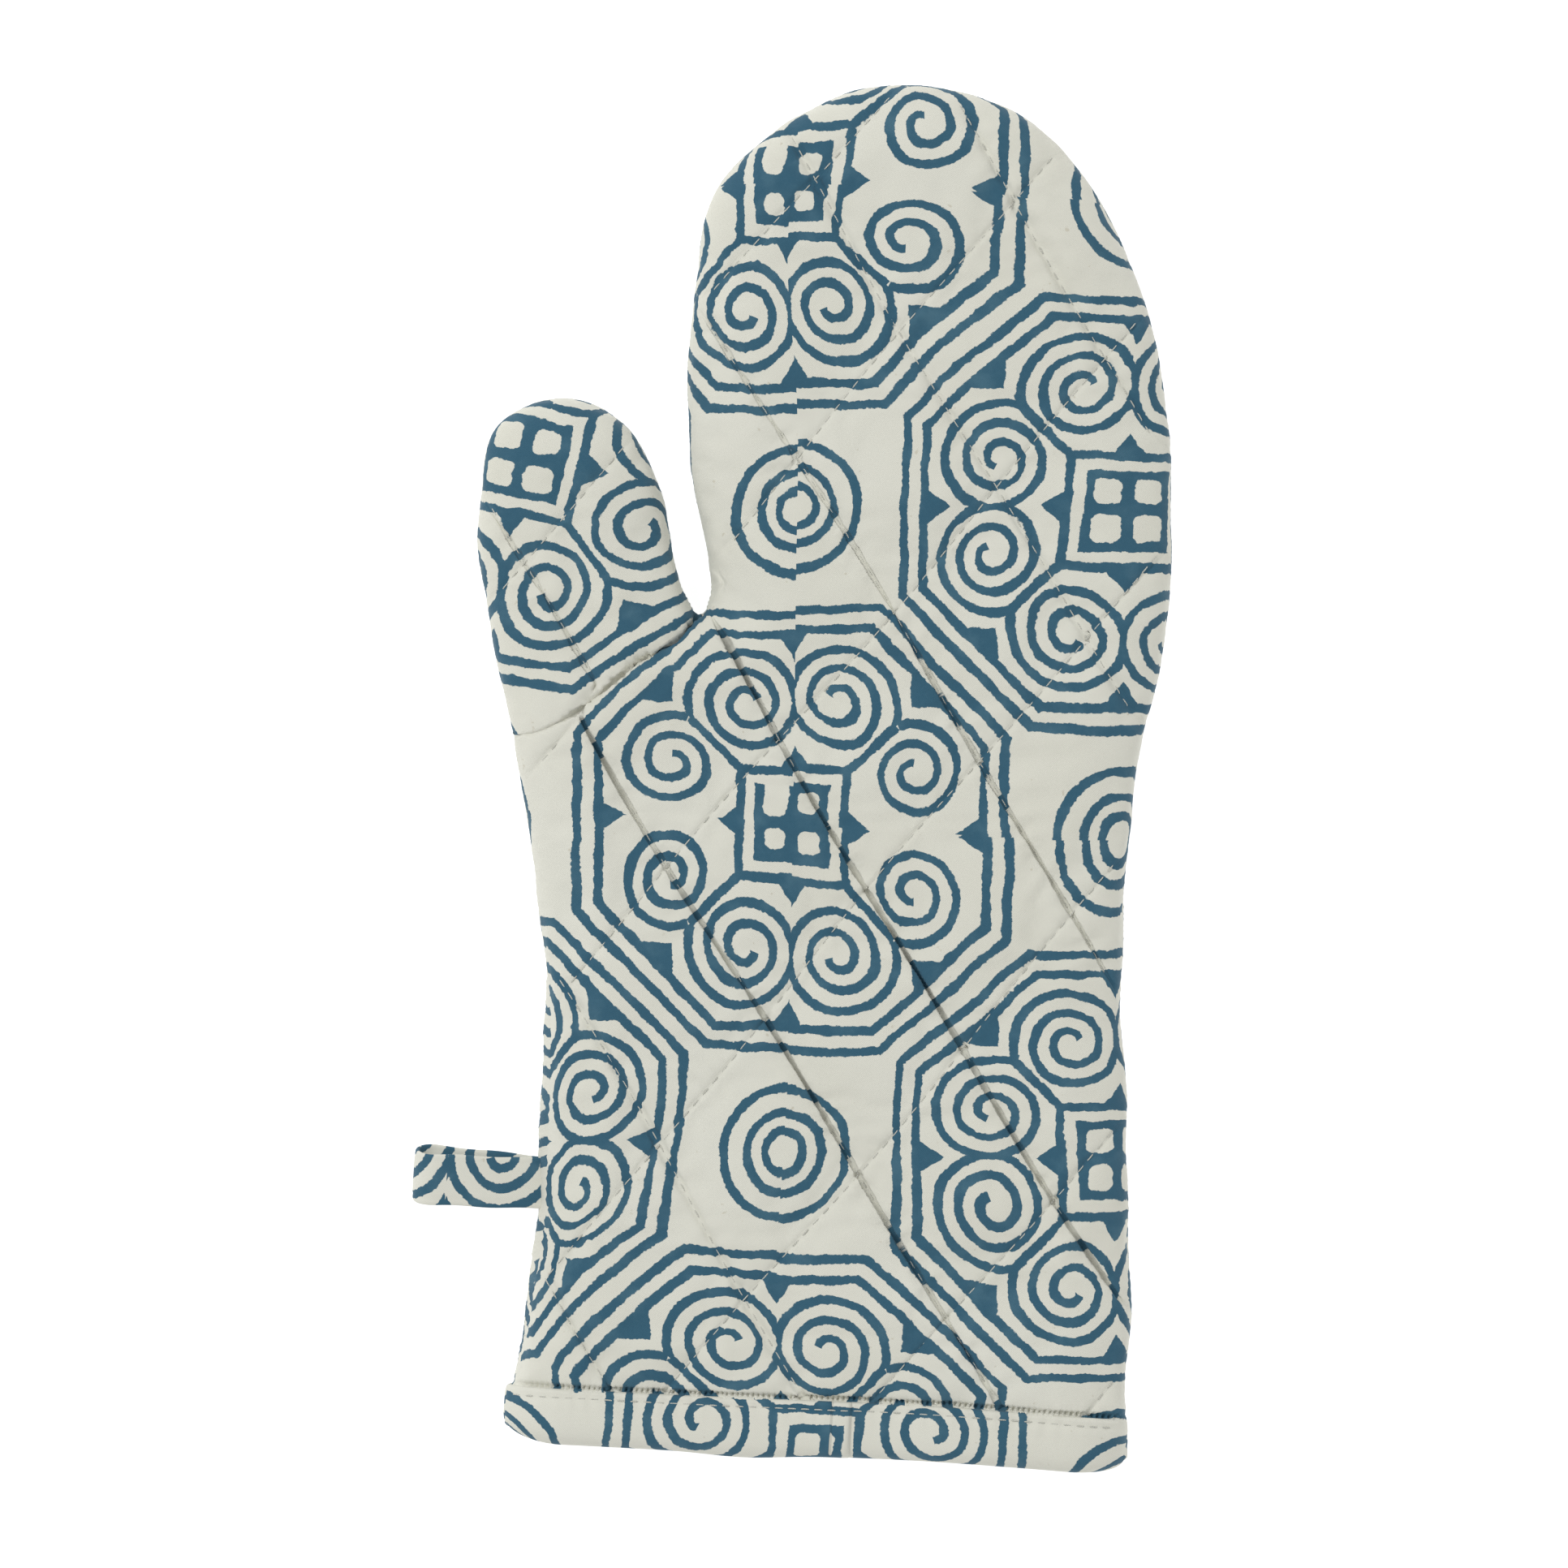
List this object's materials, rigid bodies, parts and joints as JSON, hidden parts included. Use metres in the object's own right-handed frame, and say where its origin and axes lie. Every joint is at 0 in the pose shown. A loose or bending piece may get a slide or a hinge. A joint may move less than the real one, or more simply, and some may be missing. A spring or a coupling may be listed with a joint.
{
  "type": "oven mitt",
  "caption": "Padded cotton oven mitt with a thumb, diamond quilting, a bound cuff and a side hanging loop.",
  "frame": {"origin": "under the middle of the mitt, on the surface that it lies on", "axes": "+Y from the cuff towards the fingertips, -X towards the thumb, +Z out of the face that lies up"},
  "size_m": [0.1799, 0.3297, 0.022],
  "materials": {
    "printed_cotton": "matte cream cotton with a blue block print, diamond quilted",
    "batting": "lofty white cotton wadding",
    "lining": "plain unbleached cotton",
    "binding": "folded printed cotton strip, topstitched",
    "loop_tape": "folded printed cotton tape",
    "thread": "twisted polyester-cotton sewing thread"
  },
  "bodies": {
    "hand": {"front_shell_hand": "printed_cotton", "back_shell_hand": "printed_cotton", "front_batting_hand": "batting", "back_batting_hand": "batting", "front_lining_hand": "lining", "back_lining_hand": "lining", "cuff_binding": "binding"},
    "fingers": {"front_shell_fingers": "printed_cotton", "back_shell_fingers": "printed_cotton", "front_batting_fingers": "batting", "back_batting_fingers": "batting", "front_lining_fingers": "lining", "back_lining_fingers": "lining"},
    "thumb": {"front_shell_thumb": "printed_cotton", "back_shell_thumb": "printed_cotton", "front_batting_thumb": "batting", "back_batting_thumb": "batting", "front_lining_thumb": "lining", "back_lining_thumb": "lining"},
    "loop": {"hanging_loop": "loop_tape"}
  },
  "joints": [
    {"name": "finger_fold", "type": "hinge", "parent": "hand", "child": "fingers", "pos_m": [0.033, 0.048, 0.022], "axis": [1, 0, 0], "range_deg": [0, 60]},
    {"name": "thumb_fold", "type": "hinge", "parent": "hand", "child": "thumb", "pos_m": [-0.022, 0.0395, 0.022], "axis": [0.8988, 0.4384, 0], "range_deg": [0, 45]},
    {"name": "loop_swing", "type": "hinge", "parent": "hand", "child": "loop", "pos_m": [-0.0619, -0.0939, 0.011], "axis": [0, 1, 0], "range_deg": [-90, 90]}
  ]
}
